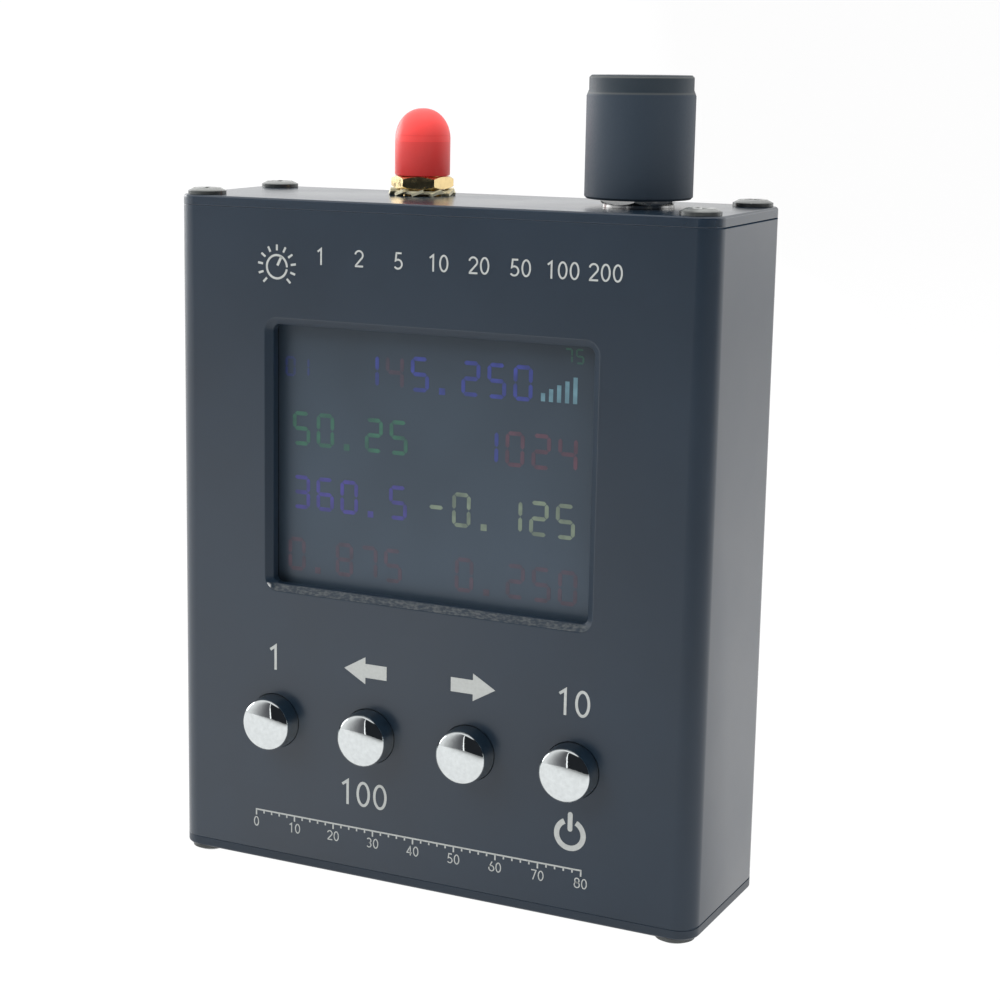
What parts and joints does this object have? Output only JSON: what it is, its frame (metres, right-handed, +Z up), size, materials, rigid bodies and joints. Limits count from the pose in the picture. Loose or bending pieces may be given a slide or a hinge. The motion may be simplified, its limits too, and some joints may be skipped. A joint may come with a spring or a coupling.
{
  "type": "antenna analyzer",
  "caption": "Handheld antenna analyzer: flat extruded case with a recessed display, a row of domed keys, a push-and-turn tuning knob and a capped coaxial jack.",
  "frame": {"origin": "under the middle of the object's outer box, on the surface that its four lower screw heads stand on", "axes": "+Z up from the lower plate to the knob, the front panel with the display and keys looks along -Y, +X to the right as the front is seen"},
  "size_m": [0.08, 0.0296, 0.1135],
  "materials": {
    "case_black": "black anodised, satin",
    "screw_black": "blackened, semi-gloss",
    "foam_black": "closed-cell foam, matt",
    "display_glass": "dark display glass, satin polariser",
    "chip_black": "moulded epoxy, matt",
    "light_guide": "milky acrylic",
    "tray_steel": "thin pressed steel",
    "flex_amber": "amber film",
    "tape_white": "foam tape",
    "board_green": "green solder mask",
    "tin": "tinned steel",
    "switch_black": "moulded, matt",
    "key_chrome": "bright plated",
    "plunger_dark": "moulded, matt",
    "encoder_green": "moulded, matt",
    "nickel": "nickel plated",
    "knob_black": "fine matt",
    "gold": "gold plated",
    "dielectric_white": "waxy white",
    "cap_red": "soft red vinyl, slightly clear",
    "cell_foil": "foil pouch",
    "lead_red": "lead insulation",
    "plug_white": "moulded nylon"
  },
  "bodies": {
    "case": {"extruded_body": "case_black", "top_plate": "case_black", "bottom_plate": "case_black", "top_plate_screws": "screw_black", "bottom_plate_screws": "screw_black", "display_gasket": "foam_black", "display_glass": "display_glass", "display_driver_chip": "chip_black", "display_light_guide": "light_guide", "display_tray": "tray_steel", "display_flex": "flex_amber", "display_tape": "tape_white", "front_board": "board_green", "front_board_chips": "chip_black", "radio_board": "board_green", "radio_board_chips": "chip_black", "shield_can": "tin", "board_header": "switch_black", "switch_bases": "switch_black", "switch_covers": "tin", "switch_legs": "tin", "encoder_housing": "encoder_green", "encoder_frame": "nickel", "encoder_bushing": "nickel", "encoder_washer": "nickel", "encoder_nut": "nickel", "encoder_pins": "tin", "jack_body": "gold", "jack_dielectric": "dielectric_white", "jack_contact": "gold", "jack_nut": "gold", "jack_lock_washer": "gold", "battery_cell": "cell_foil", "battery_tape": "tape_white", "battery_leads": "lead_red", "battery_plug": "plug_white", "usb_shell": "nickel", "usb_tongue": "chip_black"},
    "key_1": {"key_cap_1": "key_chrome", "key_plunger_1": "plunger_dark"},
    "key_2": {"key_cap_2": "key_chrome", "key_plunger_2": "plunger_dark"},
    "key_3": {"key_cap_3": "key_chrome", "key_plunger_3": "plunger_dark"},
    "key_4": {"key_cap_4": "key_chrome", "key_plunger_4": "plunger_dark"},
    "push_pin": {"encoder_push_pin": "dielectric_white"},
    "knob": {"tuning_knob": "knob_black", "encoder_shaft": "nickel"},
    "cap": {"dust_cap": "cap_red"}
  },
  "joints": [
    {"name": "key_1_press", "type": "slide", "parent": "case", "child": "key_1", "axis": [0, 1, 0], "range_m": [0, 0.00025], "stiffness_N_per_m": 800, "springref_m": -0.0005},
    {"name": "key_2_press", "type": "slide", "parent": "case", "child": "key_2", "axis": [0, 1, 0], "range_m": [0, 0.00025], "stiffness_N_per_m": 800, "springref_m": -0.0005},
    {"name": "key_3_press", "type": "slide", "parent": "case", "child": "key_3", "axis": [0, 1, 0], "range_m": [0, 0.00025], "stiffness_N_per_m": 800, "springref_m": -0.0005},
    {"name": "key_4_press", "type": "slide", "parent": "case", "child": "key_4", "axis": [0, 1, 0], "range_m": [0, 0.00025], "stiffness_N_per_m": 800, "springref_m": -0.0005},
    {"name": "knob_press", "type": "slide", "parent": "case", "child": "push_pin", "axis": [0, 0, -1], "range_m": [0, 0.0005], "stiffness_N_per_m": 800, "springref_m": -0.0008},
    {"name": "knob_turn", "type": "hinge", "parent": "push_pin", "child": "knob", "pos_m": [0.0242, 0.00185, 0.104], "axis": [0, 0, 1], "continuous": true},
    {"name": "cap_pull", "type": "slide", "parent": "case", "child": "cap", "axis": [0, 0, 1], "range_m": [0, 0.008]}
  ]
}
